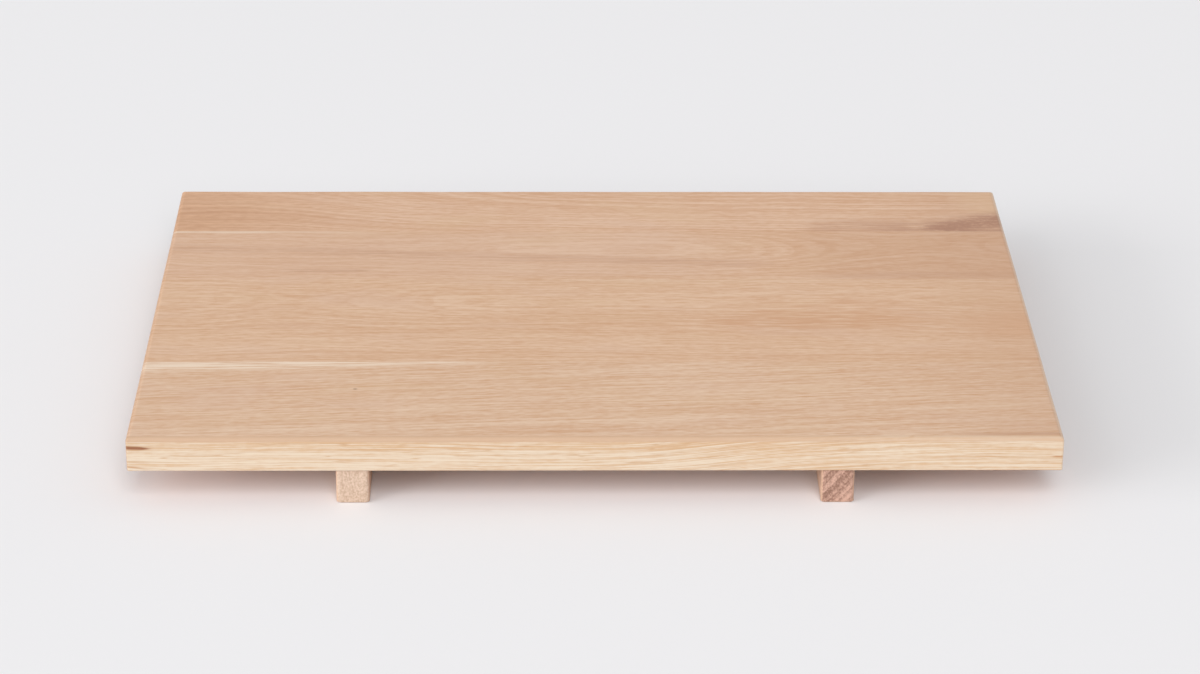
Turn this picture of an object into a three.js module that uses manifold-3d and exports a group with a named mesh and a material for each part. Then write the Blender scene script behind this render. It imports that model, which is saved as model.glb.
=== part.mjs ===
// A rectangular oak serving board: four staves glued edge to edge, standing on two runners that cross the grain.
// Each runner is held from below by pan-head screws, one into each stave. Their heads sit in counterbores, and
// all holes but one in each runner are slotted, so that the board can swell and shrink across its grain.
// Millimetres, +Z up. X runs along the grain and Y from the front edge to the rear edge. The origin is at the
// middle of the footprint, on the surface that the runners stand on.

import * as THREE from 'three';
import { mergeVertices } from 'three/addons/utils/BufferGeometryUtils.js';
import Module from 'manifold-3d';

// Board
const BOARD_LENGTH = 450;
const BOARD_THICKNESS = 18;
const FRONT_STAVE_WIDTH = 83;
const FRONT_MIDDLE_STAVE_WIDTH = 99;
const REAR_MIDDLE_STAVE_WIDTH = 62;
const REAR_STAVE_WIDTH = 56;
const BOARD_CORNER_RADIUS = 0.8;
const BOARD_TOP_ARRIS_RADIUS = 2.5;
const BOARD_LOWER_ARRIS_RADIUS = 0.5;

// Runners
const RUNNER_WIDTH = 16;
const RUNNER_HEIGHT = 18;
const RUNNER_SPACING = 234;
const RUNNER_SETBACK = 1;
const RUNNER_CORNER_RADIUS = 1;
const RUNNER_FOOT_ARRIS_RADIUS = 1;

// Screws and their holes
const SCREW_HEAD_DIAMETER = 8;
const SCREW_HEAD_HEIGHT = 2.8;
const SCREW_HEAD_EDGE_RADIUS = 1.2;
const SCREW_SHANK_DIAMETER = 4;
const SCREW_SHANK_LENGTH = 6;
const SCREW_THREAD_DIAMETER = 3.4;
const SCREW_POINT_LENGTH = 5;
const WOOD_ABOVE_SCREW = 5;
const COUNTERBORE_DEPTH = 6;
const SLOT_TRAVEL = 4;
const HOLE_CLEARANCE = 0.3;
const HEAD_CLEARANCE = 0.6;

// Fineness of the round stretches
const CORNER_STEPS = 3;
const ARRIS_STEPS = 4;
const SCREW_SIDES = 24;
const HALF_HOLE_POINTS = 12;

// Finishes
const OAK = { roughness: 0.62, metalness: 0 };
const SCREW_STEEL = { color: 0xb9b6ae, roughness: 0.35, metalness: 1 };

// The staves, from front to rear. The widest middle one keeps its place on the runners, the others may creep.
const staves = [
  { name: 'front', width: FRONT_STAVE_WIDTH, color: 0xdab89d, fixed: false },
  { name: 'front_middle', width: FRONT_MIDDLE_STAVE_WIDTH, color: 0xd8b497, fixed: true },
  { name: 'rear_middle', width: REAR_MIDDLE_STAVE_WIDTH, color: 0xd4b095, fixed: false },
  { name: 'rear', width: REAR_STAVE_WIDTH, color: 0xd3ad92, fixed: false },
];
const runners = [
  { name: 'left', side: -1, color: 0xdec1ac },
  { name: 'right', side: 1, color: 0xbf9988 },
];

const boardDepth = staves.reduce((sum, stave) => sum + stave.width, 0);
let staveEdge = -boardDepth / 2;
for (const stave of staves) {
  stave.frontEdge = staveEdge;
  stave.rearEdge = staveEdge + stave.width;
  stave.middle = (stave.frontEdge + stave.rearEdge) / 2;
  staveEdge = stave.rearEdge;
}

// Heights are measured from the plane where the runners meet the board.
const runnerLength = boardDepth - 2 * RUNNER_SETBACK;
const runnerFoot = -RUNNER_HEIGHT;
const screwSeat = runnerFoot + COUNTERBORE_DEPTH;
const screwTip = BOARD_THICKNESS - WOOD_ABOVE_SCREW;
const screwHeadFace = screwSeat - SCREW_HEAD_HEIGHT;

const wasm = await Module();
wasm.setup();

function solidFrom(geometry) {
  geometry.deleteAttribute('normal');
  geometry.deleteAttribute('uv');
  const merged = mergeVertices(geometry);
  const triVerts = new Uint32Array(merged.index.array);
  const vertProperties = new Float32Array(merged.attributes.position.array);
  return new wasm.Manifold(new wasm.Mesh({ numProp: 3, vertProperties, triVerts }));
}

function geometryFrom(solid) {
  const mesh = solid.getMesh();
  const geometry = new THREE.BufferGeometry();
  geometry.setAttribute('position', new THREE.BufferAttribute(mesh.vertProperties, 3));
  geometry.setIndex(new THREE.BufferAttribute(mesh.triVerts, 1));
  geometry.computeVertexNormals();
  return geometry;
}

// Plan outline of a rectangle with rounded corners, anticlockwise from above.
function roundedOutline(halfLength, halfDepth, radius) {
  const points = [];
  for (let corner = 0; corner < 4; corner += 1) {
    const signX = corner === 0 || corner === 3 ? 1 : -1;
    const signY = corner < 2 ? 1 : -1;
    for (let step = 0; step <= CORNER_STEPS; step += 1) {
      const angle = (corner + step / CORNER_STEPS) * (Math.PI / 2);
      const x = signX * (halfLength - radius) + radius * Math.cos(angle);
      const y = signY * (halfDepth - radius) + radius * Math.sin(angle);
      points.push(new THREE.Vector2(x, y));
    }
  }
  return points;
}

// How far an arris draws the outline in, step by step from the flat face to the upright face.
function arrisSteps(radius) {
  if (radius === 0) {
    return [{ inset: 0, rise: 0 }];
  }
  const steps = [];
  for (let step = 0; step <= ARRIS_STEPS; step += 1) {
    const angle = (step / ARRIS_STEPS) * (Math.PI / 2);
    steps.push({ inset: radius * (1 - Math.sin(angle)), rise: radius * (1 - Math.cos(angle)) });
  }
  return steps;
}

// A block with rounded upright corners and rounded arrises, lofted through its plan outlines from low to high.
function easedBlock({ length, depth, low, high, cornerRadius, lowerArris, upperArris }) {
  const levels = [
    ...arrisSteps(lowerArris).map(({ inset, rise }) => ({ inset, z: low + rise })),
    ...arrisSteps(upperArris).reverse().map(({ inset, rise }) => ({ inset, z: high - rise })),
  ];
  const positions = [];
  let ringSize = 0;
  for (const { inset, z } of levels) {
    const outline = roundedOutline(length / 2 - inset, depth / 2 - inset, cornerRadius);
    ringSize = outline.length;
    for (const point of outline) {
      positions.push(point.x, point.y, z);
    }
  }
  const indices = [];
  const topRing = (levels.length - 1) * ringSize;
  for (let ring = 0; ring < topRing; ring += ringSize) {
    for (let here = 0; here < ringSize; here += 1) {
      const next = (here + 1) % ringSize;
      indices.push(ring + here, ring + next, ring + ringSize + next);
      indices.push(ring + here, ring + ringSize + next, ring + ringSize + here);
    }
  }
  for (let corner = 1; corner < ringSize - 1; corner += 1) {
    indices.push(0, corner + 1, corner);
    indices.push(topRing, topRing + corner, topRing + corner + 1);
  }
  const geometry = new THREE.BufferGeometry();
  geometry.setAttribute('position', new THREE.Float32BufferAttribute(positions, 3));
  geometry.setIndex(indices);
  return geometry;
}

// An upright cutter for a round hole, or for a slot that lets a screw travel along Y.
function holeCutter({ radius, travel, x, y, low, high }) {
  const outline = [];
  for (const end of [1, -1]) {
    for (let step = 0; step < HALF_HOLE_POINTS; step += 1) {
      const angle = ((step + 0.5) / HALF_HOLE_POINTS) * Math.PI;
      const across = end * radius * Math.cos(angle);
      const along = end * (radius * Math.sin(angle) + travel / 2);
      outline.push(new THREE.Vector2(x + across, y + along));
    }
  }
  const cutter = new THREE.ExtrudeGeometry(new THREE.Shape(outline), { depth: high - low, bevelEnabled: false });
  return solidFrom(cutter.translate(0, 0, low));
}

// The whole board is planed and eased as one, so only its outer arrises are rounded.
const board = solidFrom(easedBlock({
  length: BOARD_LENGTH,
  depth: boardDepth,
  low: 0,
  high: BOARD_THICKNESS,
  cornerRadius: BOARD_CORNER_RADIUS,
  lowerArris: BOARD_LOWER_ARRIS_RADIUS,
  upperArris: BOARD_TOP_ARRIS_RADIUS,
}));

// One stave: its strip of the board, with a blind pilot hole above each runner.
function staveGeometry(stave) {
  const margin = BOARD_THICKNESS;
  const strip = new THREE.BoxGeometry(BOARD_LENGTH + 2 * margin, stave.width, BOARD_THICKNESS + 2 * margin);
  const corners = strip.attributes.position;
  for (let index = 0; index < corners.count; index += 1) {
    corners.setY(index, corners.getY(index) > 0 ? stave.rearEdge : stave.frontEdge);
  }
  strip.translate(0, 0, BOARD_THICKNESS / 2);
  let wood = board.intersect(solidFrom(strip));
  for (const runner of runners) {
    wood = wood.subtract(holeCutter({
      radius: SCREW_THREAD_DIAMETER / 2 + HOLE_CLEARANCE,
      travel: 0,
      x: runner.side * RUNNER_SPACING / 2,
      y: stave.middle,
      low: -BOARD_THICKNESS,
      high: screwTip + HOLE_CLEARANCE,
    }));
  }
  return geometryFrom(wood);
}

// One runner: an eased bar with a counterbored hole under each stave.
function runnerGeometry() {
  let wood = solidFrom(easedBlock({
    length: RUNNER_WIDTH,
    depth: runnerLength,
    low: runnerFoot,
    high: 0,
    cornerRadius: RUNNER_CORNER_RADIUS,
    lowerArris: RUNNER_FOOT_ARRIS_RADIUS,
    upperArris: 0,
  }));
  for (const stave of staves) {
    const travel = stave.fixed ? 0 : SLOT_TRAVEL;
    wood = wood.subtract(holeCutter({
      radius: SCREW_HEAD_DIAMETER / 2 + HEAD_CLEARANCE,
      travel,
      x: 0,
      y: stave.middle,
      low: runnerFoot - RUNNER_HEIGHT,
      high: screwSeat,
    }));
    wood = wood.subtract(holeCutter({
      radius: SCREW_SHANK_DIAMETER / 2 + HOLE_CLEARANCE,
      travel,
      x: 0,
      y: stave.middle,
      low: runnerFoot - RUNNER_HEIGHT,
      high: RUNNER_HEIGHT,
    }));
  }
  return geometryFrom(wood);
}

// One screw, head down: a pan head with a rounded rim, a plain shank, the threaded length and a point.
function screwGeometry() {
  const headRadius = SCREW_HEAD_DIAMETER / 2;
  const profile = [new THREE.Vector2(0, screwHeadFace)];
  for (const { inset, rise } of arrisSteps(SCREW_HEAD_EDGE_RADIUS)) {
    profile.push(new THREE.Vector2(headRadius - inset, screwHeadFace + rise));
  }
  profile.push(
    new THREE.Vector2(headRadius, screwSeat),
    new THREE.Vector2(SCREW_SHANK_DIAMETER / 2, screwSeat),
    new THREE.Vector2(SCREW_SHANK_DIAMETER / 2, screwSeat + SCREW_SHANK_LENGTH),
    new THREE.Vector2(SCREW_THREAD_DIAMETER / 2, screwSeat + SCREW_SHANK_LENGTH),
    new THREE.Vector2(SCREW_THREAD_DIAMETER / 2, screwTip - SCREW_POINT_LENGTH),
    new THREE.Vector2(0, screwTip),
  );
  return new THREE.LatheGeometry(profile, SCREW_SIDES).rotateX(Math.PI / 2);
}

function piece(name, geometry, finish) {
  const mesh = new THREE.Mesh(geometry, new THREE.MeshStandardMaterial(finish));
  mesh.name = name;
  return mesh;
}

const servingBoard = new THREE.Group();
servingBoard.position.z = RUNNER_HEIGHT;

for (const stave of staves) {
  servingBoard.add(piece(`stave_${stave.name}`, staveGeometry(stave), { ...OAK, color: stave.color }));
}

for (const runner of runners) {
  const foot = new THREE.Group();
  foot.position.x = runner.side * RUNNER_SPACING / 2;
  foot.add(piece(`runner_${runner.name}`, runnerGeometry(), { ...OAK, color: runner.color }));
  for (const stave of staves) {
    const screw = piece(`screw_${runner.name}_${stave.name}`, screwGeometry(), SCREW_STEEL);
    screw.position.y = stave.middle;
    foot.add(screw);
  }
  servingBoard.add(foot);
}

export default servingBoard;
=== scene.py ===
# %% [markdown]
# # An oak serving board on two runners
#
# Four oak staves are glued edge to edge into one flat board. Two runners cross its grain underneath, and
# screws sunk into them hold the board. The packed model is a fixed frame: it gives every size and place, so
# this lesson only adds what the eye wants, which is rounder arrises, drilled wood, threads, and oak that
# looks as if it grew.

# %% Load the frame
import math
from dataclasses import dataclass
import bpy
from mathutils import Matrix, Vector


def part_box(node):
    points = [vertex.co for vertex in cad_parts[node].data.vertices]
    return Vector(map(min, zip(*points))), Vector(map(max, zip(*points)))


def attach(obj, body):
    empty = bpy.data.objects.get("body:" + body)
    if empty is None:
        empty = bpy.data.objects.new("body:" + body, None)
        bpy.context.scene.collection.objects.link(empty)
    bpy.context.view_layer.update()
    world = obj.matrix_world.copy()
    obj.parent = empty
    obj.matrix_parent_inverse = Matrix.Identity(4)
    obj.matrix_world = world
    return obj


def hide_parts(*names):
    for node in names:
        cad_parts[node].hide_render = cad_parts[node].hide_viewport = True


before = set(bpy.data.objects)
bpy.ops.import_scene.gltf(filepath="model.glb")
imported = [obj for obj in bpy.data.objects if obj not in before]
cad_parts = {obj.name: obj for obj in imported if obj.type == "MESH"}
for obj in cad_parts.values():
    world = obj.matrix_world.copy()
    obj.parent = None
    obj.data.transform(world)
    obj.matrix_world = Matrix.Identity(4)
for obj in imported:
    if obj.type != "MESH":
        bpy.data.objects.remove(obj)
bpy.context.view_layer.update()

from types import SimpleNamespace

import bmesh
import bpy
from mathutils import Matrix, Vector, noise

MM = 0.001
STAVES = ("front", "front_middle", "rear_middle", "rear")
RUNNERS = ("left", "right")
stave_box = {stave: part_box(f"stave_{stave}") for stave in STAVES}
runner_box = {runner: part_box(f"runner_{runner}") for runner in RUNNERS}
board_low = stave_box["front"][0]
board_high = stave_box["rear"][1]
print("board from", tuple(board_low), "to", tuple(board_high))

# %% [markdown]
# ## Shader maths that reads as maths
#
# A wood finish is mostly arithmetic on positions: how far is this spot from the heart of the tree, and
# which year's growth is that? Wiring dozens of Math nodes by hand hides the idea. One small class wraps a
# socket, so that `1 - mask * 0.3` adds the nodes by itself, and one method adds every other kind of node.

# %% A socket that knows arithmetic
class Socket:
    """An output socket of a node tree, on which Python's operators add Math nodes."""

    def __init__(self, tree, socket):
        self.tree = tree
        self.socket = socket

    def node(self, kind, settings=None, sockets=None, out=0):
        """Adds a node: its settings first, then the values or links of its sockets."""
        made = self.tree.nodes.new(kind)
        for key, value in (settings or {}).items():
            setattr(made, key, value)
        for key, value in (sockets or {}).items():
            if isinstance(value, Socket):
                self.tree.links.new(value.socket, made.inputs[key])
            else:
                made.inputs[key].default_value = value
        return Socket(self.tree, made.outputs[out])

    def other(self, out):
        """Another output of the same node."""
        return Socket(self.tree, self.socket.node.outputs[out])

    def math(self, operation, *values):
        return self.node("ShaderNodeMath", {"operation": operation}, dict(enumerate(values)))

    def __add__(self, value):
        return self.math("ADD", self, value)

    def __radd__(self, value):
        return self.math("ADD", value, self)

    def __sub__(self, value):
        return self.math("SUBTRACT", self, value)

    def __rsub__(self, value):
        return self.math("SUBTRACT", value, self)

    def __mul__(self, value):
        return self.math("MULTIPLY", self, value)

    def __rmul__(self, value):
        return self.math("MULTIPLY", value, self)

    def __truediv__(self, value):
        return self.math("DIVIDE", self, value)

    def __rtruediv__(self, value):
        return self.math("DIVIDE", value, self)

    def __rpow__(self, value):
        return self.math("POWER", value, self)

    def __abs__(self):
        return self.math("ABSOLUTE", self)

    def root(self):
        return self.math("SQRT", self)

    def fraction(self):
        return self.math("FRACT", self)

    def rise(self, low, high):
        """0 below low, 1 above high and a smooth climb between. With low above high it falls instead."""
        settings = {"interpolation_type": "SMOOTHSTEP"}
        return self.node("ShaderNodeMapRange", settings, {"Value": self, "From Min": low, "From Max": high})

    def blend(self, first, second):
        """A colour that goes from the first to the second as this amount goes from 0 to 1."""
        sockets = {"Factor": self, 6: first, 7: second}
        return self.node("ShaderNodeMix", {"data_type": "RGBA"}, sockets, out=2)

    def noise(self, detail=0.0, roughness=0.5):
        """Smooth noise about 0, at a spot given as a vector whose unit is one feature's size."""
        sockets = {"Vector": self, "Scale": 1.0, "Detail": detail, "Roughness": roughness}
        return self.node("ShaderNodeTexNoise", {"noise_dimensions": "3D"}, sockets) - 0.5

    def line_noise(self, detail=0.0, roughness=0.5):
        """Smooth noise about 0 along a line, such as from ring to ring."""
        sockets = {"W": self, "Scale": 1.0, "Detail": detail, "Roughness": roughness}
        return self.node("ShaderNodeTexNoise", {"noise_dimensions": "1D"}, sockets) - 0.5

    def vector(self, *parts):
        """A vector from three values."""
        return self.node("ShaderNodeCombineXYZ", None, dict(enumerate(parts)))


print("reflected operators:", [name for name in vars(Socket) if name.startswith("__r")])

# %% [markdown]
# ## Where a finish starts and where it ends
#
# Each finish of this board starts from the place of a spot on the object and ends in the sockets of one
# shader. An unwrapped mesh could give that place too, but it stretches at the arrises and has seams. Object
# coordinates have neither. They are turned into millimetres, in which a joiner thinks.

# %% Start a finish and feed it
def new_finish(name):
    """A new material, its shader node and the position on the object in millimetres."""
    material = bpy.data.materials.new(name)
    material.use_nodes = True
    tree = material.node_tree
    shader = tree.nodes["Principled BSDF"]
    start = Socket(tree, shader.outputs[0])
    metres = start.node("ShaderNodeTexCoord", out="Object")
    place = start.node("ShaderNodeVectorMath", {"operation": "SCALE"}, {0: metres, "Scale": 1 / MM})
    return material, shader, place


def feed(shader, name, value):
    """Links a varying value to one of the shader's sockets, or sets a constant on it."""
    if isinstance(value, Socket):
        value.tree.links.new(value.socket, shader.inputs[name])
    else:
        shader.inputs[name].default_value = value


print("finishes use", round(1 / MM), "units to the metre")

# %% [markdown]
# ## Oak, from the inside out
#
# A picture of grain wrapped round a block never agrees with itself at the edges. Here the finish is solid
# instead: every spot asks how far it lies from the pith of the log that the piece was sawn from. That
# distance gives the year ring, so arches on the face, straight lines on the edge and arcs on the end grain
# all come from one rule. Each stave has its own log, described by where its pith ran: how far below the
# top, and how much it dipped along the length.

# %% How a piece was sawn from its log
@dataclass
class Sawing:
    """How a piece lay in its log, in millimetres. The pith is the middle of the log."""

    pith_across: float  # where the pith ran, across the grain
    pith_depth: float  # how far below the board's top it ran
    slope: float = 0.0  # how far it strays sideways in each millimetre of length
    tilt: float = 0.0  # how far it sinks in each millimetre of length
    dip: float = 0.0  # how far a bend takes it further down
    dip_at: float = 0.0  # where that bend lies along the grain
    dip_length: float = 60.0  # and how far it reaches each way
    sway: float = 14.0  # how far the rings wander
    ring: float = 2.4  # the width of one year's growth
    figure: float = 1.0  # how strongly the rings show, as a share
    reach: float = 50.0  # the length of the streaks, which follow the slope


SAWN = {
    "front": Sawing(pith_across=-180, pith_depth=60, slope=0.07, sway=9, ring=2.0, figure=0.6, reach=65),
    "front_middle": Sawing(pith_across=4, pith_depth=17, tilt=-0.012, dip=9, dip_at=-151, dip_length=55,
                           sway=26, figure=0.75),
    "rear_middle": Sawing(pith_across=74, pith_depth=17, tilt=-0.025, dip=18, dip_at=185, dip_length=80,
                          sway=20, figure=0.8),
    "rear": Sawing(pith_across=160, pith_depth=22, dip=34, dip_at=-210, dip_length=150, ring=2.6),
}
print("pith depths:", {stave: saw.pith_depth for stave, saw in SAWN.items()}, "mm")

# %% Distance from the pith
TOP = board_high.z / MM


def flecks(spot, length, width, height=None, apart=0.0, **texture):
    """Noise about 0, in flecks with a length along the grain, a width across it and a height.

    A fleck is as high as it is wide unless told otherwise. Flecks that lie apart don't repeat each other.
    """
    across = spot.across / width
    if apart:
        across = across + apart
    return spot.along.vector(spot.along / length, across, spot.up / (height or width)).noise(**texture)


def pith_distance(spot, saw):
    """Millimetres from the pith, with the slow wander and the small ripples that a grown tree has."""
    wander = flecks(spot, length=130, width=40, detail=4.0, roughness=0.45)
    lift = flecks(spot, length=90, width=60, height=30, apart=7.3, detail=4.0, roughness=0.45)
    offset = (spot.along - saw.dip_at) / saw.dip_length
    depth = saw.pith_depth + spot.along * saw.tilt + math.e ** (offset * offset * -1) * saw.dip
    side = spot.across - saw.pith_across - spot.along * saw.slope + wander * saw.sway
    below = spot.up - TOP + depth + lift * saw.sway * 0.5
    return (side * side + below * below).root()


print("top of the board:", round(TOP, 2), "mm")

# %% [markdown]
# ## Year rings, pores and streaks
#
# Each spring an oak grows a row of wide pores, which the plane opens as short dark dashes, and each summer
# a denser, smoother layer. A ramp over the rings would make every year alike. Noise along the count of years
# lets good and poor years follow each other, and finer flecks, drawn out along the grain, stand for the
# fibres within a year.

# %% Read the grain at a spot
YEARS_IN_A_SPELL = 5


def read_grain(place, saw, grain_axis):
    """Everything that the colour and the relief of a spot of oak depend on."""
    x = place.node("ShaderNodeSeparateXYZ", None, {0: place})
    y, up = x.other("Y"), x.other("Z")
    along, across = (x, y) if grain_axis == "X" else (y, x)
    spot = SimpleNamespace(along=along, across=across, up=up)
    sloped = SimpleNamespace(along=along, across=across - along * saw.slope, up=up)
    year = pith_distance(spot, saw) / saw.ring
    spell = (year / YEARS_IN_A_SPELL).line_noise(detail=1.0)
    ring = year.line_noise(detail=2.0, roughness=0.65)
    early = (year + spell).fraction().rise(0.6, 0.1)
    streak = flecks(sloped, length=saw.reach, width=1.7, detail=3.0, roughness=0.65)
    dash = flecks(sloped, length=saw.reach / 3, width=1.2, detail=2.0, roughness=0.65).rise(0.0, 0.3)
    fibre = flecks(sloped, length=5, width=1.3, detail=1.0)
    cloud = flecks(spot, length=110, width=28, detail=1.0)
    hue = flecks(spot, length=60, width=20, apart=3.1, detail=1.0)
    pores = flecks(spot, length=8, width=0.4, detail=1.0).rise(0.08, 0.22) * early
    rings = (spell * 0.4 + ring * 0.55 - early * 0.08) * saw.figure
    tone = rings * 1.1 + streak * 0.8 + fibre * 0.55 + cloud * 0.25 - dash * 0.4 - pores * 0.25
    return SimpleNamespace(along=along, across=across, up=up, streak=streak, fibre=fibre, cloud=cloud,
                           hue=hue, pores=pores, rings=rings, tone=tone)


print("good and poor spells of growth last about", YEARS_IN_A_SPELL, "years")

# %% [markdown]
# ## Each stave's own colour and marks
#
# No two staves of this board match, and that is how the joints show. The front stave has a wedge of pale
# sapwood along its joint and a pin knot. The rear stave carries a dark heart patch at its right end.
# Painting them on a picture would tie them to one size of picture. Each mark is a soft mask instead, with
# edges frayed by the grain, laid over the plain oak. Places are millimetres from the middle of the board,
# to the right and to the rear.

# %% Masks for marks
LEFT = board_low.x / MM
RIGHT = board_high.x / MM
FRONT = board_low.y / MM


def band(value, low, high, soft):
    """1 between two limits and 0 outside them, with soft ends."""
    return value.rise(low - soft, low + soft) * value.rise(high + soft, high - soft)


def patch(grain, along, across, soft=(12, 4), ragged=2.5):
    """1 over a range along and across the grain, with an edge that the streaks make ragged."""
    inside = band(grain.along, *along, soft[0]) * band(grain.across, *across, soft[1])
    return (inside + inside * grain.streak * ragged).rise(0.0, 1.0)


def stain(grain, colour, tint, strength, **where):
    """The wood's colour with a tint laid over a patch of it."""
    return (patch(grain, **where) * strength).blend(colour, tint)


print("marks lie between", round(LEFT), "and", round(RIGHT), "mm along the grain")

# %% Marks on the front stave
# Pale sapwood colour, which also serves as painted light on the right end's arris.
SAPWOOD_AND_PAINTED_LIGHT = (0.80, 0.64, 0.50, 1)
BROWN = (0.49, 0.275, 0.17, 1)
RUST = (0.60, 0.345, 0.205, 1)
ASH = (0.67, 0.46, 0.345, 1)
PIN_KNOT = (0.36, 0.21, 0.13, 1)
KNOT_ALONG = -117.6
KNOT_ACROSS = -97.6
WEDGE_WIDTH = 12.5
WEDGE_TAPER = 0.062


def front_marks(grain, colour):
    """Sapwood along the joint, a pin knot, stains at the left and a brown line by the edge at the right."""
    joint = stave_box["front"][1].y / MM
    wedge_edge = (grain.along - LEFT) * WEDGE_TAPER + (joint - WEDGE_WIDTH) + grain.streak * 12
    wedge = (grain.across - wedge_edge).rise(-1.0, 3.0) * grain.along.rise(-45, -65)
    strands = flecks(grain, length=45, width=1.6, height=4, detail=3.0)
    colour = (wedge * (strands * 7.5 + 0.7).rise(0.0, 1.0)).blend(colour, SAPWOOD_AND_PAINTED_LIGHT)
    aside, behind = grain.along - KNOT_ALONG, grain.across - KNOT_ACROSS
    knot = (aside * aside * 0.6 + behind * behind).root().rise(1.2, 0.3)
    colour = (knot * 0.75).blend(colour, PIN_KNOT)
    colour = stain(grain, colour, RUST, 0.3, along=(LEFT - 35, -185), across=(-133, -125), soft=(35, 4))
    edge_line = (FRONT + 1.5, FRONT + 5)
    colour = stain(grain, colour, BROWN, 0.55, along=(180, RIGHT + 15), across=edge_line, soft=(25, 1.3))
    return stain(grain, colour, ASH, 0.3, along=(-205, -165), across=(-120, -95), soft=(20, 8))


print("front stave:", front_marks.__doc__)

# %% Marks on the middle staves
def front_middle_marks(grain, colour):
    """Rusty flecks right of the middle and at the right end, and pale lines along the rear joint."""
    rusty = flecks(grain, length=20, width=1.8, height=4, detail=2.0).rise(-0.25, 0.25)
    bloom = patch(grain, along=(65, 165), across=(-28, 10), soft=(30, 10))
    wide_bloom = patch(grain, along=(-20, RIGHT + 15), across=(-34, -10), soft=(60, 9))
    colour = ((bloom + wide_bloom * 0.6) * rusty * 0.75).rise(0.0, 1.0).blend(colour, RUST)
    colour = stain(grain, colour, RUST, 0.45, along=(200, RIGHT + 15), across=(-38, -8), soft=(25, 8))
    pale_lines = {"along": (-90, RIGHT + 15), "across": (27.5, 31.5), "soft": (60, 2), "ragged": 5}
    return stain(grain, colour, SAPWOOD_AND_PAINTED_LIGHT, 0.15, **pale_lines)


def rear_middle_marks(grain, colour):
    """An ashen cast, one long dark band, short dark streaks and a pale strip along the joint at the left."""
    colour = stain(grain, colour, ASH, 0.25, along=(LEFT - 15, 60), across=(36, 92), soft=(60, 5))
    from_band = grain.across - 57.5 + grain.along * 0.066 + grain.cloud * 6
    long_band = band(from_band, -4, 4, 3.5) * grain.along.rise(110, 70)
    colour = (long_band * (grain.streak * 4 + 0.5).rise(0.0, 1.0) * 0.6).blend(colour, BROWN)
    pale_strip = (91.5, 97)
    colour = stain(grain, colour, SAPWOOD_AND_PAINTED_LIGHT, 0.3, along=(LEFT - 15, -125), across=pale_strip, soft=(25, 1))
    colour = stain(grain, colour, SAPWOOD_AND_PAINTED_LIGHT, 0.5, along=(LEFT - 15, -172), across=pale_strip, soft=(12, 1))
    colour = stain(grain, colour, BROWN, 0.5, along=(-160, -119), across=(41, 45), soft=(10, 1.5), ragged=6)
    colour = stain(grain, colour, BROWN, 0.2, along=(118, RIGHT + 35), across=(20, 110), soft=(22, 5))
    right_streak = {"along": (130, RIGHT + 15), "across": (34, 41), "soft": (40, 3), "ragged": 5}
    return stain(grain, colour, BROWN, 0.3, **right_streak)


print("front middle stave:", front_middle_marks.__doc__)
print("rear middle stave:", rear_middle_marks.__doc__)

# %% Marks on the rear stave
HEART = (0.40, 0.215, 0.14, 1)
HEART_HALO = (0.48, 0.27, 0.175, 1)
RUST_DARK = (0.52, 0.285, 0.165, 1)
RUST_PALE = (0.68, 0.405, 0.245, 1)
STRAW = (0.68, 0.47, 0.30, 1)


def rear_marks(grain, colour):
    """A rusty left end and the dark heart patch at the right end."""
    rusty = grain.along.rise(-95, LEFT) * (grain.streak * 2 + 0.75).rise(0.0, 1.0)
    rust = (grain.tone * 1.3 + 0.5).rise(0.0, 1.0).blend(RUST_DARK, RUST_PALE)
    colour = (rusty * 0.85).blend(colour, rust)
    fibres = flecks(grain, length=26, width=1.8, height=3, detail=3.0, roughness=0.6)
    halo = band(grain.along + fibres * 30, 124, RIGHT + 35, 18)
    halo = halo * (grain.across + fibres * 14).rise(116, 101)
    gap = band(grain.along, 174, 184, 4) * 0.6
    colour = (halo * (fibres * 2 + 0.65).rise(0.0, 1.0) * (0.85 - gap)).blend(colour, HEART_HALO)
    upper = (grain.along - 160) * 0.33 + 97 + fibres * 18
    heart = (upper - grain.across).rise(-8.0, 8.0) * (grain.along + fibres * 60).rise(166, 196)
    rays = flecks(grain, length=3, width=2, height=3, detail=2.0)
    fading = grain.along.rise(198, 216) * (grain.across + fibres * 8).rise(102, 97) * 0.55
    colour = (heart * (fibres * 1.8 + rays * 1.8 + 0.8).rise(0.0, 1.0) * (1 - fading)).blend(colour, HEART)
    return stain(grain, colour, STRAW, 0.45, along=(205, RIGHT + 25), across=(119, 150), soft=(20, 6))


MARKS = {
    "front": front_marks,
    "front_middle": front_middle_marks,
    "rear_middle": rear_middle_marks,
    "rear": rear_marks,
}
print("rear stave:", rear_marks.__doc__)

# %% [markdown]
# ## The front edge
#
# The front face cuts into paler, yellower wood, with fine lines that climb near the right runner and a
# scorch mark at the left corner. A second material on that face would end in a hard line. A mask in the
# same finish lets the brown of the top turn over the rounded arris and stop where the flat face begins.
# Over the arris that brown is darker still, as painted shade that cancels the highlight the lamps give
# the rounding. At the right the pale wood rises over the arris, together with a painted highlight.

# %% Pale wood on the front face
EDGE_DARK = (0.555, 0.36, 0.212, 1)
EDGE_PALE = (0.66, 0.548, 0.425, 1)
EDGE_LINE = (0.48, 0.28, 0.145, 1)
DARKER_ABOVE = (TOP - 8.2, TOP - 6.4)


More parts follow.
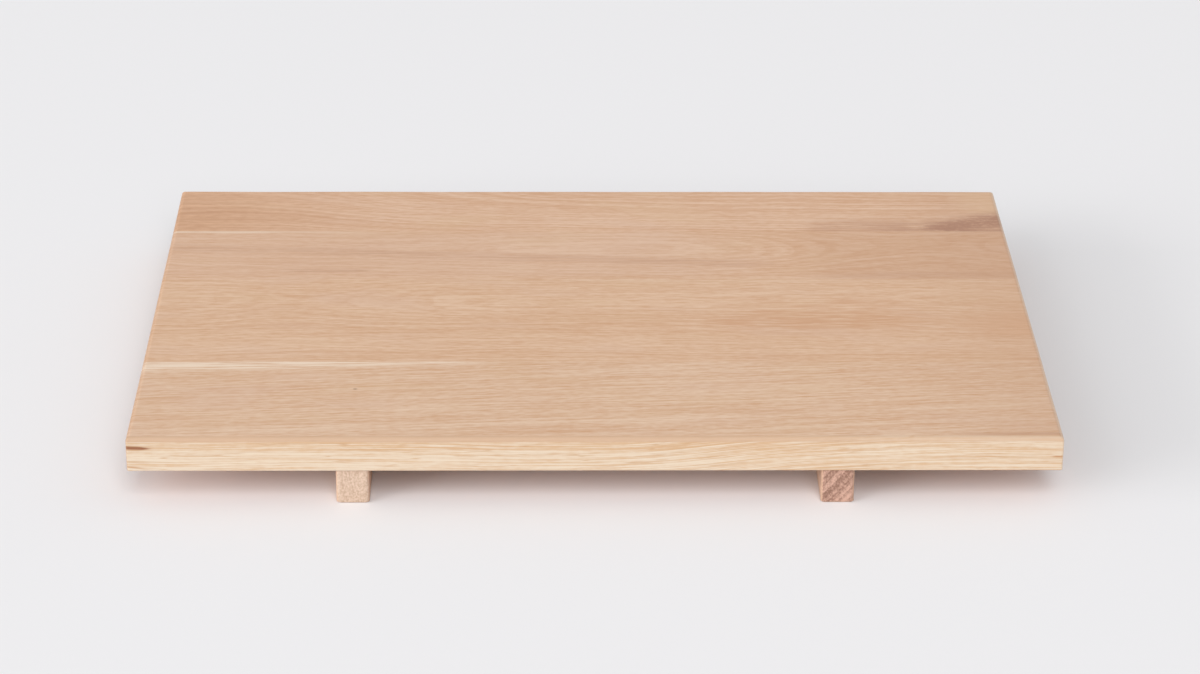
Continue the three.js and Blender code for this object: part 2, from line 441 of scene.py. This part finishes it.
def face_lines(grain):
    """The colour of the front face: pale flames, fine fibres and a few thin dark lines."""
    level = grain.up - grain.along.rise(-10, 160) * 10 - grain.cloud * 5

    def layer(number, length, height, **texture):
        """Noise about 0 in flecks on the face. Each layer has a pattern of its own."""
        return grain.along.vector(grain.along / length, level / height, number).noise(**texture)

    flames = layer(0, length=58, height=1.3, detail=3.0, roughness=0.6)
    fine = layer(5, length=85, height=0.6, detail=2.0)
    left = grain.along.rise(200, -200) * 0.15
    high = grain.up.rise(*DARKER_ABOVE) * grain.along.rise(160, 60) * 0.27
    tone = flames * 1.5 + fine * 2.2 + grain.fibre * 0.6 + left - high + 0.58
    lines = tone.rise(0.0, 1.0).blend(EDGE_DARK, EDGE_PALE)
    thin = abs(layer(9, length=60, height=2.6, detail=2.0)).rise(0.035, 0.0)
    return (thin * (flames * 3 + 0.5).rise(0.0, 1.0) * 0.7).blend(lines, EDGE_LINE)


print("front face:", face_lines.__doc__)

# %% Scorch marks and the turn of the arris
# The top's brown on the arris, darkened as painted shade against the lamps' highlight.
ARRIS_BROWN_AND_PAINTED_SHADE = (0.495, 0.333, 0.222, 1)
BURN = (0.24, 0.085, 0.035, 1)
SCORCH = (0.44, 0.22, 0.10, 1)
UNDERSIDE = board_low.z / MM
FACE_STARTS = TOP - 2.0
FACE_IS_PALE = TOP - 2.8
GLOW = (TOP - 6.8, TOP - 4.4)
BURN_LINE = (TOP - 6.2, TOP - 4.6)
BURN_TIP = TOP - 5.8
LOW_STREAK = (UNDERSIDE + 2.0, UNDERSIDE + 2.7)
RIGHT_FLECK = (TOP - 10.8, TOP - 10.1)


def front_edge(grain, colour):
    """Recolours the arris, darker as painted shade and at the right paler with a painted highlight, and the
    front face, and adds the face's own marks.
    """
    in_front = grain.across.rise(FRONT + 2.6, FRONT + 1.4)
    # Painted shade: the arris takes a darker brown that cancels the highlight of the lamps on its rounding.
    colour = (in_front * 0.9).blend(colour, ARRIS_BROWN_AND_PAINTED_SHADE)
    flat = in_front * (grain.up + grain.streak * 1.2).rise(FACE_STARTS, FACE_IS_PALE)
    # Pale wood and a painted highlight: at the right the pale face colour rises over the arris.
    pale_wood_and_highlight_at_right = in_front * grain.along.rise(30, 150) * 0.3
    pale = flat + pale_wood_and_highlight_at_right - flat * pale_wood_and_highlight_at_right
    colour = pale.blend(colour, face_lines(grain))
    inward = grain.along - LEFT
    glow = inward.rise(19, 5) * band(grain.up, *GLOW, 1.0)
    colour = (pale * glow * 0.3).blend(colour, SCORCH)
    from_tip = inward + abs(grain.up - BURN_TIP) * 4
    burn = band(grain.up + inward * 0.04, *BURN_LINE, 0.45) * from_tip.rise(14, 9)
    colour = (pale * burn * 0.9).blend(colour, BURN)
    low_streak = inward.rise(15, 3) * band(grain.up + inward * 0.12, *LOW_STREAK, 0.4) * 0.8
    fleck = grain.along.rise(RIGHT - 7, RIGHT - 3) * band(grain.up, *RIGHT_FLECK, 0.4)
    return (pale * (low_streak + fleck)).blend(colour, SCORCH)


print("front edge: pale wood from", round(FACE_IS_PALE, 1), "mm downwards, and higher at the right")

# %% [markdown]
# ## Oiled oak
#
# The board is sanded and lightly oiled, so it is matt, with pores that can just be felt. The cut pores of
# its ends soak up oil and turn dark, and its underside has a redder cast. On the arrises of its ends, a
# darker colour on the left is painted shade and a paler one on the right is painted light, which even out
# the lamps from the left. One material could serve all four staves, but then every mark would need a mask
# for its stave as well. One function is called once for each stave instead.

# %% The finish of a stave
OAK_TONES = {
    "front": ((0.585, 0.335, 0.19, 1), (0.765, 0.572, 0.425, 1)),
    "front_middle": ((0.59, 0.342, 0.197, 1), (0.745, 0.528, 0.375, 1)),
    "rear_middle": ((0.58, 0.333, 0.193, 1), (0.735, 0.515, 0.369, 1)),
    "rear": ((0.587, 0.337, 0.198, 1), (0.748, 0.526, 0.381, 1)),
}
END_DARK = (0.32, 0.18, 0.105, 1)
END_PALE = (0.48, 0.29, 0.175, 1)
UNDERSIDE_DARK = (0.57, 0.285, 0.175, 1)
UNDERSIDE_PALE = (0.79, 0.435, 0.28, 1)


def oil(shader, grain, colour):
    """Feeds an oiled oak surface: matt, with open pores and a faint relief along the grain."""
    feed(shader, "Base Color", colour)
    feed(shader, "Roughness", 0.58 + grain.streak * 0.15 + grain.pores * 0.2)
    relief = {"Height": grain.streak * 0.4 - grain.pores, "Strength": 0.35, "Distance": 0.12 * MM}
    feed(shader, "Normal", colour.node("ShaderNodeBump", None, relief))
    feed(shader, "Specular IOR Level", 0.3)


def facing(place):
    """Which way a surface faces, along X. The other outputs tell it along Y and Z."""
    return place.node("ShaderNodeSeparateXYZ", None, {0: place.node("ShaderNodeNewGeometry", out="Normal")})


def end_grain_and_painted_arris_light(grain, colour, sideways):
    """Darkens the cut ends, whose open pores are dark. The left end's arris is darker than the top as
    painted shade, and the right end's is paler as painted light, which even out the lamps from the left.
    """
    tone = grain.rings * 2 + grain.streak * 0.6 - grain.pores * 0.4 + 0.55
    cut_pores_and_painted_shade = tone.rise(0.0, 1.0).blend(END_DARK, END_PALE)
    # Painted shade: the left end's arris, which the lamps from the left light strongly, is darkened with the
    # end colour.
    colour = (sideways.rise(-0.1, -0.7) * 0.52).blend(colour, cut_pores_and_painted_shade)
    # Painted light: the right end's arris, which faces away from the lamps, is made paler.
    colour = (sideways.rise(0.1, 0.7) * 0.5).blend(colour, SAPWOOD_AND_PAINTED_LIGHT)
    return (abs(sideways).rise(0.8, 1.0) * 0.8).blend(colour, cut_pores_and_painted_shade)


def stave_finish(stave):
    """Oak for one stave, with its marks, its pale front edge, its end grain and its underside, and painted
    shade and light on its arrises.
    """
    material, shader, place = new_finish(f"oak_{stave}")
    grain = read_grain(place, SAWN[stave], "X")
    colour = (grain.tone + 0.55).rise(0.0, 1.0).blend(*OAK_TONES[stave])
    colour = (grain.hue.rise(0.02, 0.3) * 0.3).blend(colour, STRAW)
    colour = (grain.hue.rise(-0.02, -0.3) * 0.3).blend(colour, ASH)
    colour = (grain.along.rise(140, RIGHT) * 0.25).blend(colour, BROWN)
    colour = MARKS[stave](grain, colour)
    if stave == "front":
        colour = front_edge(grain, colour)
    colour = end_grain_and_painted_arris_light(grain, colour, facing(place))
    bare = (grain.tone * 1.2 + 0.55).rise(0.0, 1.0).blend(UNDERSIDE_DARK, UNDERSIDE_PALE)
    colour = (grain.up.rise(UNDERSIDE + 0.3, UNDERSIDE) * 0.85).blend(colour, bare)
    oil(shader, grain, colour)
    return material


stave_oak = {stave: stave_finish(stave) for stave in STAVES}
print("stave finishes:", [material.name for material in stave_oak.values()])

# %% [markdown]
# ## Oak that runs the other way
#
# The runners are oak as well, but their grain runs from front to rear, so their ends show rings. The left
# one is pale and even, and the right one reddish, with strong curved rings. A drawing of rings on each end
# would do from the front. The same reader with its axes swapped gives ends and sides that agree, so only a
# fine speckle of cut pores is added.

# %% The finish of a runner
RUNNER_SAWN = {
    "left": Sawing(pith_across=-190, pith_depth=40, ring=1.6, figure=0.3),
    "right": Sawing(pith_across=40, pith_depth=-37, sway=3.0, ring=2.8),
}
RUNNER_TONES = {
    "left": ((0.46, 0.32, 0.23, 1), (0.67, 0.51, 0.40, 1)),
    "right": ((0.25, 0.135, 0.095, 1), (0.56, 0.345, 0.265, 1)),
}
RUNNER_SIDES = (0.60, 0.40, 0.28, 1)


def runner_finish(runner):
    """Oak for one runner, whose grain runs across the board: rings on its ends, streaks along its sides."""
    material, shader, place = new_finish(f"oak_runner_{runner}")
    grain = read_grain(place, RUNNER_SAWN[runner], "Y")
    speckle = flecks(grain, length=20, width=0.8, height=1.0, detail=2.0)
    tone = grain.rings * 2.2 + grain.streak * 0.6 + speckle * 1.5 + 0.5
    colour = tone.rise(0.0, 1.0).blend(*RUNNER_TONES[runner])
    side = abs(facing(place).other("Y")).rise(0.97, 0.6)
    colour = (side * (0.75 - grain.streak)).blend(colour, RUNNER_SIDES)
    oil(shader, grain, colour)
    return material


runner_oak = {runner: runner_finish(runner) for runner in RUNNERS}
print("runner finishes:", [material.name for material in runner_oak.values()])

# %% [markdown]
# ## The board
#
# The maker glues the staves, planes the panel flat and then eases its outer arrises by hand. A box with a
# bevel would do, but a bevel is the same all round. Here the panel is lofted from plan outlines, one for
# each step of the arris, so the arris can swell and thin a little as hand work does. A saw cut between the
# staves comes last, as in the frame, so only the outside edges are rounded. Flat faces keep a narrow margin
# inside each arris, which stops the smooth shading from creeping over them.

# %% The plan and the arris of a block
MARGIN = 0.4 * MM
ARRIS_STEPS = 8
CORNER_STEPS = 5
SIDE_SPACING = 6 * MM


def rounded_outline(half_x, half_y, radius):
    """Plan of a rounded rectangle, anticlockwise, with points along its straight sides."""
    points = []
    corners = ((1, 1), (-1, 1), (-1, -1), (1, -1))
    for index, (sign_x, sign_y) in enumerate(corners):
        centre = Vector((sign_x * (half_x - radius), sign_y * (half_y - radius)))
        for step in range(CORNER_STEPS + 1):
            angle = (index + step / CORNER_STEPS) * math.pi / 2
            points.append(centre + radius * Vector((math.cos(angle), math.sin(angle))))
        turn = (index + 1) * math.pi / 2
        run = Vector((-math.sin(turn), math.cos(turn)))
        length = 2 * (half_x if index % 2 == 0 else half_y) - 2 * radius
        count = max(2, round((length - 2 * MARGIN) / SIDE_SPACING))
        start = points[-1]
        for step in range(count + 1):
            points.append(start + run * (MARGIN + (length - 2 * MARGIN) * step / count))
    return points


def arris(radius):
    """Steps from a flat face round to an upright face, as how far in and how far along."""
    if radius == 0:
        return [(0.0, 0.0)]
    turns = [step / ARRIS_STEPS * math.pi / 2 for step in range(ARRIS_STEPS + 1)]
    steps = [(radius * (1 - math.sin(turn)), radius * (1 - math.cos(turn))) for turn in turns]
    return [(radius + MARGIN, 0.0), *steps, (0.0, radius + MARGIN)]


print("an arris turns in", ARRIS_STEPS, "steps, a corner in", CORNER_STEPS)

# %% Loft the panel
WEAR_PER_METRE = 20
TOP_ARRIS = 2.5 * MM
LOWER_ARRIS = 0.5 * MM
BOARD_CORNER = 0.8 * MM


def loft(rings):
    """A closed solid through rings of equal length, from low to high."""
    solid = bmesh.new()
    made = [[solid.verts.new(point) for point in ring] for ring in rings]
    for below, above in zip(made, made[1:]):
        for here in range(len(below)):
            after = (here + 1) % len(below)
            solid.faces.new((below[here], below[after], above[after], above[here]))
    solid.faces.new(reversed(made[0]))
    solid.faces.new(made[-1])
    return solid


def eased_block(low, high, corner, lower, upper, wear):
    """A closed block between two corners, lofted through its plan outlines, with worn arrises."""
    middle = (low + high) / 2
    half = (high - low) / 2
    outline = rounded_outline(half.x, half.y, corner)
    inner = Vector((half.x - corner, half.y - corner))
    levels = [(inset, low.z + rise, 0) for inset, rise in arris(lower)]
    levels += [(inset, high.z - rise, 1) for inset, rise in reversed(arris(upper))]
    rings = []
    for inset, height, worn in levels:
        ring = []
        for point in outline:
            hand = 1 + worn * wear * noise.noise(Vector((point.x, point.y, 0)) * WEAR_PER_METRE)
            pull = Vector((max(-1, min(1, point.x / inner.x)), max(-1, min(1, point.y / inner.y))))
            spot = point - pull * inset * hand
            drop = (high.z - height) * (hand - 1) * worn
            ring.append((middle.x + spot.x, middle.y + spot.y, height - drop))
        rings.append(ring)
    return loft(rings)


panel = eased_block(board_low, board_high, BOARD_CORNER, LOWER_ARRIS, TOP_ARRIS, wear=0.15)
print("panel:", len(panel.verts), "points,", len(panel.faces), "faces")

# %% [markdown]
# ## From a shape to a piece of the board
#
# Every shape becomes an object that rides the frame, stands for one of its nodes, which it hides, and
# wears the finish that it is given. Each piece could do this for itself, but one function means that none
# is forgotten. The shading is smooth on round stretches and crisp where two planed faces meet.

# %% Add a piece
SHARP_ANGLE = math.radians(35)


def shade(mesh):
    """Smooth on round stretches and crisp where two flat faces meet."""
    mesh.shade_smooth()
    mesh.set_sharp_from_angle(angle=SHARP_ANGLE)


def add_piece(name, shape, node, material):
    """A shown piece that stands for a CAD node, which it hides, and wears the finish that it is given."""
    mesh = bpy.data.meshes.new(name)
    bmesh.ops.recalc_face_normals(shape, faces=shape.faces)
    shape.to_mesh(mesh)
    shape.free()
    mesh.materials.append(material)
    shade(mesh)
    piece = bpy.data.objects.new(name, mesh)
    bpy.context.collection.objects.link(piece)
    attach(piece, "root")
    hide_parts(node)
    return piece


print("edges over", round(math.degrees(SHARP_ANGLE)), "degrees stay crisp")

# %% Saw the panel into staves
CUT_TOLERANCE = 1e-8


def sawn(block, front, rear):
    """The stretch of a block between two upright planes, closed where it was cut."""
    piece = block.copy()
    for place, outward in ((front, -1), (rear, 1)):
        if board_low.y + MARGIN < place < board_high.y - MARGIN:
            geometry = [*piece.verts, *piece.edges, *piece.faces]
            bmesh.ops.bisect_plane(piece, geom=geometry, dist=CUT_TOLERANCE, plane_co=(0, place, 0),
                                   plane_no=(0, outward, 0), clear_outer=True)
            bmesh.ops.holes_fill(piece, edges=[edge for edge in piece.edges if edge.is_boundary], sides=0)
    return piece


staves = {}
for stave in STAVES:
    low, high = stave_box[stave]
    shape = sawn(panel, low.y, high.y)
    name = f"stave_{stave}"
    staves[stave] = add_piece(f"sanded_{name}", shape, name, stave_oak[stave])
    print(stave, "stave:", round((high.y - low.y) / MM, 2), "mm wide")
panel.free()

# %% [markdown]
# ## The runners and their holes
#
# A runner is a plain bar with eased arrises, but its underside carries the work: a counterbore for each
# screw head and a hole for the shank. All but one are slots, so that the wide board can swell and shrink
# without splitting. The holes are cut with a boolean, because that is what a drill and a router do. Each
# cutter is one stepped solid, as cutters that overlap each other confuse the boolean.

# %% Shape a cutter and cut with it
HOLE_STEPS = 16


def slot_ring(centre, radius, travel, height):
    """Outline of a hole, drawn out along Y into a slot."""
    ring = []
    for end in (1, -1):
        for step in range(HOLE_STEPS):
            angle = (step + 0.5) / HOLE_STEPS * math.pi
            offset = Vector((radius * math.cos(angle), radius * math.sin(angle) + travel / 2)) * end
            ring.append((centre.x + offset.x, centre.y + offset.y, height))
    return ring


def cut(piece, cutters):
    """Cuts each solid out of a piece in turn, and leaves a plain mesh."""
    for cutter in cutters:
        mesh = bpy.data.meshes.new("cutter")
        bmesh.ops.recalc_face_normals(cutter, faces=cutter.faces)
        cutter.to_mesh(mesh)
        cutter.free()
        tool = bpy.data.objects.new("cutter", mesh)
        bpy.context.collection.objects.link(tool)
        boolean = piece.modifiers.new("cut", "BOOLEAN")
        boolean.operation = "DIFFERENCE"
        boolean.solver = "EXACT"
        boolean.object = tool
        graph = bpy.context.evaluated_depsgraph_get()
        result = bpy.data.meshes.new_from_object(piece.evaluated_get(graph))
        piece.modifiers.clear()
        piece.data = result
        bpy.data.objects.remove(tool)
    shade(piece.data)


print("a hole has", 2 * HOLE_STEPS, "sides")

# %% Make and drill the runners
RUNNER_ARRIS = 1.0 * MM
RUNNER_CORNER = 1.6 * MM
SHANK_HOLE = 2.3 * MM
HEAD_HOLE = 4.6 * MM
HEAD_HEIGHT = 2.8 * MM
PILOT_HOLE = 2.0 * MM
SLOT_TRAVEL = 4 * MM
FIXED_STAVE = "front_middle"
BEYOND = 2 * MM

runners = {}
for runner in RUNNERS:
    low, high = runner_box[runner]
    bar = eased_block(low, high, RUNNER_CORNER, RUNNER_ARRIS, 0, wear=0)
    name = f"runner_{runner}"
    runners[runner] = add_piece(f"eased_{name}", bar, name, runner_oak[runner])
    bores = []
    for stave in STAVES:
        screw_low, screw_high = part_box(f"screw_{runner}_{stave}")
        centre = (screw_low + screw_high) / 2
        seat = screw_low.z + HEAD_HEIGHT
        travel = 0 if stave == FIXED_STAVE else SLOT_TRAVEL
        bores.append(loft([
            slot_ring(centre, HEAD_HOLE, travel, low.z - BEYOND),
            slot_ring(centre, HEAD_HOLE, travel, seat),
            slot_ring(centre, SHANK_HOLE, travel, seat),
            slot_ring(centre, SHANK_HOLE, travel, high.z + BEYOND),
        ]))
        pilot = loft([
            slot_ring(centre, PILOT_HOLE, 0, board_low.z - BEYOND),
            slot_ring(centre, PILOT_HOLE, 0, screw_high.z),
        ])
        cut(staves[stave], [pilot])
    cut(runners[runner], bores)
    print(runner, "runner:", len(runners[runner].data.polygons), "faces")

# %% [markdown]
# ## The screws
#
# A pan-head wood screw, bright zinc on steel. Only the heads show, and only from below, but the whole screw
# is made: a turned head with a cross recess, a plain shank and a thread. The thread is one skin whose
# radius swells along a helix, which stays closed and needs no boolean. One mesh serves every screw, each
# turned to its own angle, because no one lines up their recesses.

# %% Rings of a screw
SCREW_SIDES = 24
SHANK_LENGTH = 6 * MM
THREAD_CORE = 1.35 * MM
THREAD_CREST = 1.9 * MM
THREAD_PITCH = 1.8 * MM
RIDGE_FOOT = 0.2
POINT_LENGTH = 5 * MM
BLUNT_POINT = 0.06

screw_low, screw_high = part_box("screw_left_front")
seat = screw_low.z + HEAD_HEIGHT
thread_start = seat + SHANK_LENGTH
tip = screw_high.z


def round_ring(radius, height):
    """One ring of the head or the shank."""
    turns = [step / SCREW_SIDES * 2 * math.pi for step in range(SCREW_SIDES)]
    return [(radius * math.cos(turn), radius * math.sin(turn), height) for turn in turns]


def thread_ring(height):
    """One ring of the thread: its radius peaks where the helix passes, and thins towards the point."""
    taper = min(1, max(BLUNT_POINT, (tip - height) / POINT_LENGTH))
    ring = []
    for step in range(SCREW_SIDES):
        turn = step / SCREW_SIDES
        phase = ((height - thread_start) / THREAD_PITCH - turn) % 1
        ridge = max(0, 1 - abs(phase - 0.5) / RIDGE_FOOT)
        radius = taper * (THREAD_CORE + (THREAD_CREST - THREAD_CORE) * ridge)
        angle = turn * 2 * math.pi
        ring.append((radius * math.cos(angle), radius * math.sin(angle), height))
    return ring


print("thread from", round(thread_start / MM, 1), "to", round(tip / MM, 1), "mm above the table")

# %% Turn the screw
SHANK_RADIUS = 2.0 * MM
HEAD_RIM = 1.2 * MM
RINGS_PER_TURN = 8

head_radius = (screw_high.x - screw_low.x) / 2
rim = [round_ring(head_radius - inset, screw_low.z + rise) for inset, rise in arris(HEAD_RIM)]
neck = [round_ring(head_radius, seat), round_ring(SHANK_RADIUS, seat)]
shank = [*neck, round_ring(SHANK_RADIUS, thread_start)]
thread_length = tip - thread_start
thread_turns = thread_length / THREAD_PITCH
ring_count = round(thread_turns * RINGS_PER_TURN)
thread = [thread_ring(thread_start + thread_length * step / ring_count) for step in range(ring_count + 1)]
screw_shape = loft([*rim, *shank, *thread])
print("screw:", round(thread_turns, 1), "turns of thread,", len(screw_shape.faces), "faces")

# %% [markdown]
# ## Zinc plate, and a screw in every hole
#
# Bright zinc is a pale metal that neither mirrors nor scatters the light cleanly. Scratches could be
# modelled, but nobody sees them inside a counterbore. A little noise in the roughness breaks up the
# reflection just as well.

# %% Zinc plate
ZINC = (0.62, 0.60, 0.56, 1)
MARKS_PER_MM = 1.6
zinc, shader, place = new_finish("zinc_plate")
in_marks = place.node("ShaderNodeVectorMath", {"operation": "SCALE"}, {0: place, "Scale": MARKS_PER_MM})
brushed = in_marks.noise(detail=3.0)
feed(shader, "Base Color", ZINC)
feed(shader, "Metallic", 1.0)
feed(shader, "Roughness", 0.34 + brushed * 0.3)
print("screw finish:", zinc.name)

# %% Drive the screws
RECESS_REACH = 2.3 * MM
RECESS_WIDTH = 0.95 * MM
RECESS_DEPTH = 1.7 * MM
RECESS_TAPER = 0.45
TURN_BETWEEN_SCREWS = 67


def cross_ring(scale, height):
    """Outline of the cross recess."""
    reach, half = RECESS_REACH * scale, RECESS_WIDTH / 2 * scale
    arm = [Vector((half, half)), Vector((reach, half)), Vector((reach, -half))]
    points = []
    for quarter in range(4):
        turn = Matrix.Rotation(-quarter * math.pi / 2, 2)
        points += [turn @ point for point in arm]
    return [(point.x, point.y, height) for point in reversed(points)]


screws = []
for runner in RUNNERS:
    for stave in STAVES:
        node = f"screw_{runner}_{stave}"
        low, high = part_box(node)
        centre = (low + high) / 2
        screw = add_piece(f"driven_{node}", screw_shape.copy(), node, zinc)
        if not screws:
            cut(screw, [loft([
                cross_ring(1, low.z - BEYOND),
                cross_ring(1, low.z),
                cross_ring(RECESS_TAPER, low.z + RECESS_DEPTH),
            ])])
        else:
            screw.data = screws[0].data
        screw.location = (centre.x, centre.y, 0)
        screw.rotation_euler.z = math.radians(len(screws) * TURN_BETWEEN_SCREWS)
        screws.append(screw)
screw_shape.free()
print("screws:", len(screws))

# %% [markdown]
# ## Floor and light
#
# The board stands on a plain pale floor. The light is soft and comes from the front and the left, as from a
# tall window: it fills the front edge, reaches in under the board and leaves a soft shadow on the right.
# One big lamp would light the edge or the top well, but not both. Three soft lamps and a faint sky do.

# %% Floor
FLOOR_SIZE = 8.0
FLOOR_COLOUR = (0.845, 0.84, 0.855, 1)
bpy.ops.mesh.primitive_plane_add(size=FLOOR_SIZE)
floor = bpy.context.object
floor.name = "floor"
pale, shader, _ = new_finish("pale_floor")
feed(shader, "Base Color", FLOOR_COLOUR)
feed(shader, "Roughness", 1.0)
feed(shader, "Specular IOR Level", 0.0)
floor.data.materials.append(pale)
print("floor:", FLOOR_SIZE, "m wide")

# %% Lamps
LAMP_DISTANCE = 26.0


def lamp(name, azimuth, elevation, wide, tall, radiance):
    """A far wall of soft light that faces the board, as wide and tall as the degrees that it covers.

    Azimuth 0 is straight in front, and negative is to the left.
    """
    turn, lift = math.radians(azimuth), math.radians(elevation)
    way = Vector((math.sin(turn) * math.cos(lift), -math.cos(turn) * math.cos(lift), math.sin(lift)))
    data = bpy.data.lights.new(name, "AREA")
    data.shape = "RECTANGLE"
    data.size = 2 * LAMP_DISTANCE * math.tan(math.radians(wide / 2))
    data.size_y = 2 * LAMP_DISTANCE * math.tan(math.radians(tall / 2))
    data.energy = radiance * math.pi * data.size * data.size_y
    wall = bpy.data.objects.new(name, data)
    wall.location = way * LAMP_DISTANCE
    wall.rotation_mode = "QUATERNION"
    wall.rotation_quaternion = (-way).to_track_quat("-Z", "Y")
    wall.visible_camera = False
    bpy.context.collection.objects.link(wall)


lamp("front_window", azimuth=8, elevation=40, wide=24, tall=45, radiance=4.9)
lamp("corner_window", azimuth=-50, elevation=30, wide=30, tall=30, radiance=2.0)
lamp("left_window", azimuth=-68, elevation=12, wide=46, tall=22, radiance=6.3)
print("lamps:", [light.name for light in bpy.data.lights])

# %% Sky
SKY = (0.485, 0.485, 0.485, 1)
BACKDROP = (0.84, 0.835, 0.845, 1)
world = bpy.data.worlds.new("soft_sky")
bpy.context.scene.world = world
world.use_nodes = True
background = world.node_tree.nodes["Background"]
ray = Socket(world.node_tree, background.outputs[0]).node("ShaderNodeLightPath", out="Is Camera Ray")
seen = ray + ray.other("Is Glossy Ray") + ray.other("Is Transmission Ray")
feed(background, "Color", seen.rise(0.0, 1.0).blend(SKY, BACKDROP))
print("sky:", world.name)

# %% [markdown]
# ## Camera
#
# The camera stands well back and looks down at the board through a long lens, so the sides hardly converge.
# Its place and angles could be dragged by hand in the viewport. They are numbers here, found from the
# corners of the board, so the view comes out the same each time.

# %% Place the camera
LENS = 106.86
SENSOR = 36.0
CAMERA_PLACE = Vector((-0.0262, -1.6676, 0.8147))
LOOK_DOWN = math.radians(25.543)
LOOK_RIGHT = math.radians(1.049)
ROLL = math.radians(-0.435)

level = Vector((math.cos(LOOK_RIGHT), -math.sin(LOOK_RIGHT), 0))
forward = Vector((math.sin(LOOK_RIGHT), math.cos(LOOK_RIGHT), 0))
ahead = forward * math.cos(LOOK_DOWN) - Vector((0, 0, math.sin(LOOK_DOWN)))
down = ahead.cross(level)
right = math.cos(ROLL) * level + math.sin(ROLL) * down
lower = math.cos(ROLL) * down - math.sin(ROLL) * level
camera_data = bpy.data.cameras.new("camera")
camera_data.lens = LENS
camera_data.sensor_width = SENSOR
camera_data.sensor_fit = "HORIZONTAL"
camera = bpy.data.objects.new("camera", camera_data)
turned = Matrix((right, -lower, -ahead)).transposed().to_4x4()
camera.matrix_world = Matrix.Translation(CAMERA_PLACE) @ turned
bpy.context.collection.objects.link(camera)
bpy.context.scene.camera = camera
bpy.context.scene.view_settings.view_transform = "Standard"
print("camera", round(CAMERA_PLACE.length, 3), "m from the board")

# %% [markdown]
